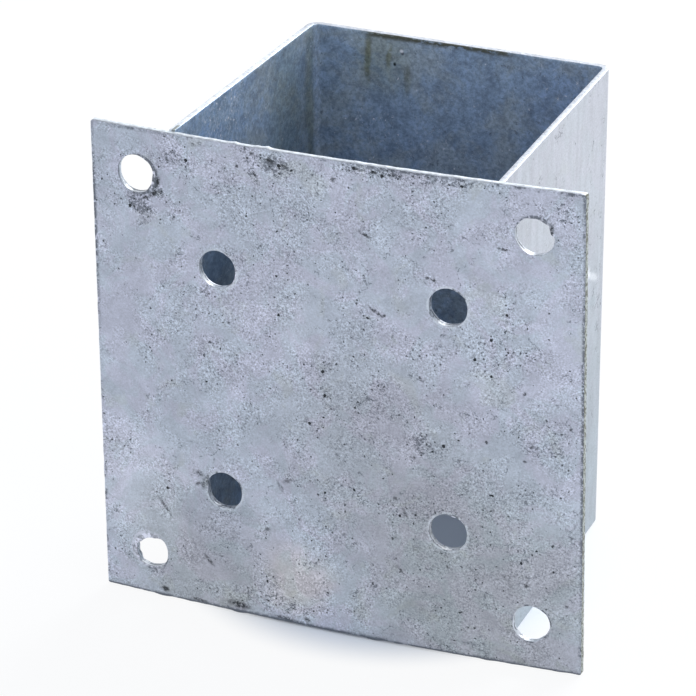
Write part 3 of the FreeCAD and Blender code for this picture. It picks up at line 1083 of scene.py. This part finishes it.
def sleeve_edge_look():
    look = Look("sleeve_cut_edge", roughness=CUT_ROUGHNESS, solid=True)
    left_wall = look.ramp(look.axis(0), -52, -60)
    color, relief = edge_zinc(look, look.mix(left_wall, RIM_RIGHT, RIM_LEFT))
    # Painted shade on the outer side of the left wall's end.
    wall_end = look.ramp(look.axis(0), -137.5, -139.5, 0, 0.85)
    outer_side = look.ramp(look.axis(0, look.texture_place), -50, -49.6)
    spot = look.product(wall_end, outer_side)
    return look.finish(look.mix(spot, color, RIM_PAINTED_SHADE), relief)


# The plate's cut edges: sheared, towards its back and its front, and in the holes.
SHEARED_BACK = (0.68, 0.74, 0.80)
SHEARED_FRONT = (0.37, 0.405, 0.46)
HOLE_WALL = (0.56, 0.60, 0.66)
# A hole and how far its own look reaches: across, up, radius. This one gets only little of the
# light that comes through the sleeve, and its wall is painted near white as painted light.
DIM_HOLE = (35, -35, 20)
DIM_HOLE_PAINTED_LIGHT = (0.97, 0.98, 1.0)
# The depth at which the punch's smooth cut ends in a step. In this hole it lies deeper, and dark
# lines run along both arrises.
PUNCH_STEP = 1.25
RINGED_HOLE = (-60, 60, 16)
RINGED_HOLE_DEEPER = 0.3
RINGED_BACK = (-60, 60, 28)
# The plate's right edge kept olive dirt from the shears.
RIGHT_EDGE = (0.37, 0.40, 0.36)


def hole_wall_marks(look, dim, ringed):
    """Dark marks on the walls of the holes: the punch's step, pits, and the back arris of one."""
    step = look.math("ADD", look.product(ringed, RINGED_HOLE_DEEPER), PUNCH_STEP)
    away = look.math("ABSOLUTE", look.math("SUBTRACT", look.axis(2), step))
    ring = look.product(look.ramp(away, 0.42, 0.15, 0, 0.9), look.ramp(dim, 0, 1, 1, 0.3))
    worn = look.product(ring, look.ramp(look.noise(2, 84, roughness=0.5), 0.42, 0.54))
    pits = look.ramp(look.noise(0.9, 85), 0.6, 0.66, 0, 0.9)
    back = look.product(look.ramp(look.axis(2), SHEET - 1, SHEET - 0.5, 0, 0.95),
                        blot(look, look.place, *RINGED_BACK))
    return look.highest(worn, look.product(ring, ringed), pits, back)


def front_arris_line(look, ringed):
    """A broken dark line along the front arris, whole round one hole and along the bottom."""
    arris = look.ramp(look.axis(2), 0.5, 0.15)
    gaps = look.noise((3, 2, 3), 87, detail=3, roughness=0.7)
    line = look.ramp(gaps, 0.4, 0.56, 0, 0.85)
    bottom = look.ramp(look.axis(1), 0.8 - HALF_HEIGHT, 0.4 - HALF_HEIGHT, 0, 0.9)
    whole = look.product(look.highest(ringed, bottom), 0.85)
    return look.product(arris, look.highest(line, whole))


def right_edge_dirt(look, color):
    right = look.ramp(look.axis(0), HALF_WIDTH - 0.6, HALF_WIDTH - 0.2)
    color = look.mix(look.product(right, 0.75), color, RIGHT_EDGE)
    dirt = look.noise((1.1, 0.7, 0.9), 86)
    dirt = look.product(look.ramp(dirt, 0.46, 0.54, 0, 0.9), right)
    return look.mix(dirt, color, OLIVE_DIRT)


def plate_edge_look():
    """The plate's sheared edges and the walls of its bolt holes."""
    look = Look("plate_cut_edge", roughness=CUT_ROUGHNESS, solid=True)
    in_hole = look.ramp(hole_distance(look, OUTER_HOLE, INNER_HOLE), 0.8, 0.4)
    front = look.ramp(look.axis(2), 1.2, 0.6)
    color = look.mix(in_hole, look.mix(front, SHEARED_BACK, SHEARED_FRONT), HOLE_WALL)
    dim = blot(look, look.place, *DIM_HOLE)
    ringed = blot(look, look.place, *RINGED_HOLE)
    # Painted light: the wall of the dim hole is painted near white.
    color, relief = edge_zinc(look, look.mix(dim, color, DIM_HOLE_PAINTED_LIGHT))
    color = look.mix(look.product(hole_wall_marks(look, dim, ringed), in_hole), color, SPECK_DARK)
    color = look.mix(front_arris_line(look, ringed), color, SPECK_DARK)
    return look.finish(right_edge_dirt(look, color), relief)


def weld_look(node):
    look = Look(node + "_zinc", solid=True)
    shade = look.noise(2.5, 91, detail=3)
    color = look.times(LAVENDER, look.ramp(shade, 0.3, 0.7, 0.7, 1.05))
    dirt = look.noise(1.2, 92)
    color = look.mix(look.ramp(dirt, 0.6, 0.7, 0, 0.8), color, SPECK_DARK)
    return look.finish(color, look.bump(look.noise(0.8, 93, roughness=0.5), 0.06))


# ---- stage, light and camera

CAMERA_AZIMUTH = 23.51
CAMERA_ELEVATION = 24.75
CAMERA_ROLL = -0.622
CAMERA_DISTANCE = 1129.4
CAMERA_LENS = 207.48
CAMERA_SENSOR = 36
CAMERA_TARGET = (4.38, 0.0, 17.14)


def make_camera():
    azimuth, elevation = math.radians(CAMERA_AZIMUTH), math.radians(CAMERA_ELEVATION)
    back = Vector((math.sin(azimuth) * math.cos(elevation),
                   -math.cos(azimuth) * math.cos(elevation), math.sin(elevation)))
    data = bpy.data.cameras.new("camera")
    data.lens = CAMERA_LENS
    data.sensor_width = CAMERA_SENSOR
    camera = bpy.data.objects.new("camera", data)
    turn = back.to_track_quat("Z", "Y").to_matrix() @ Matrix.Rotation(
        math.radians(CAMERA_ROLL), 3, "Z")
    place = Vector(CAMERA_TARGET) * MM + back * CAMERA_DISTANCE * MM
    camera.matrix_world = Matrix.LocRotScale(place, turn, None)
    bpy.context.scene.collection.objects.link(camera)
    bpy.context.scene.camera = camera


FLOOR_HALF = 4000
FLOOR_COLOR = (0.77, 0.81, 0.86)
# From this near to this far from the sleeve's middle, the floor fades to a white backdrop.
FLOOR_NEAR, FLOOR_FAR = 48, 70
FLOOR_WHITEN = 0.9


def background_rays(tree):
    """1 for a ray that shows the background: straight from the camera, mirrored or let through."""
    path = tree.nodes.new("ShaderNodeLightPath")
    total = path.outputs["Is Camera Ray"]
    for name in ("Is Glossy Ray", "Is Transmission Ray"):
        joined = tree.nodes.new("ShaderNodeMath")
        joined.operation = "MAXIMUM"
        tree.links.new(total, joined.inputs[0])
        tree.links.new(path.outputs[name], joined.inputs[1])
        total = joined.outputs[0]
    return total


def make_floor():
    """A pale floor at the object's foot that turns into the white backdrop around it."""
    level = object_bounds()[0][2] / MM
    corners = [(-1, -1), (1, -1), (1, 1), (-1, 1)]
    floor = new_object("floor", [(FLOOR_HALF * x, FLOOR_HALF * y, level) for x, y in corners],
                       [(0, 1, 2, 3)])
    look = Look("pale_floor", metallic=0.0, roughness=1.0)
    look.shader.inputs["Base Color"].default_value = (*FLOOR_COLOR, 1)
    middle = (0.0, (SLEEVE_LOW[1] + SLEEVE_HIGH[1]) / 2, level)
    away = look.vector("LENGTH", look.vector("SUBTRACT", look.solid_place(), middle))
    backdrop = look.ramp(away, FLOOR_NEAR, FLOOR_FAR, 0, FLOOR_WHITEN)
    share = look.product(backdrop, background_rays(look.tree))
    white = look.node("Emission")
    blend = look.node("MixShader")
    look.feed(blend.inputs[0], share)
    look.feed(blend.inputs[1], look.shader.outputs[0])
    look.feed(blend.inputs[2], white.outputs[0])
    look.feed(look.tree.nodes["Material Output"].inputs["Surface"], blend.outputs[0])
    floor.data.materials.append(look.material)


SKY_COLOR = (0.90, 0.96, 1.06)
SKY_STRENGTH = 0.8
# Soft boxes, which face the object: place, size, power in watts, colour.
SOFT_BOXES = {
    "key_behind": ((250, 1000, 900), 800, 16, (1.0, 0.985, 0.96)),
    "fill_right": ((1150, -260, 160), 700, 5.2, (0.98, 0.99, 1.0)),
}


def make_world():
    world = bpy.data.worlds.new("world")
    bpy.context.scene.world = world
    world.use_nodes = True
    tree = world.node_tree
    sky = tree.nodes["Background"]
    sky.inputs["Color"].default_value = (*SKY_COLOR, 1)
    sky.inputs["Strength"].default_value = SKY_STRENGTH
    white = tree.nodes.new("ShaderNodeBackground")
    white.inputs["Color"].default_value = (1, 1, 1, 1)
    blend = tree.nodes.new("ShaderNodeMixShader")
    tree.links.new(background_rays(tree), blend.inputs[0])
    tree.links.new(sky.outputs[0], blend.inputs[1])
    tree.links.new(white.outputs[0], blend.inputs[2])
    tree.links.new(blend.outputs[0], tree.nodes["World Output"].inputs["Surface"])


def make_soft_boxes():
    for name, (place, size, power, color) in SOFT_BOXES.items():
        data = bpy.data.lights.new(name, "AREA")
        data.size = size * MM
        data.energy = power
        data.color = color
        lamp = bpy.data.objects.new(name, data)
        place = Vector(place) * MM
        lamp.matrix_world = Matrix.LocRotScale(place, place.to_track_quat("Z", "Y"), None)
        bpy.context.scene.collection.objects.link(lamp)


bpy.context.scene.view_settings.view_transform = "Standard"
make_camera()
make_world()
make_soft_boxes()
make_plate()
make_sleeve()
make_weld("weld_bead_left", -1)
make_weld("weld_bead_right", 1)
make_floor()
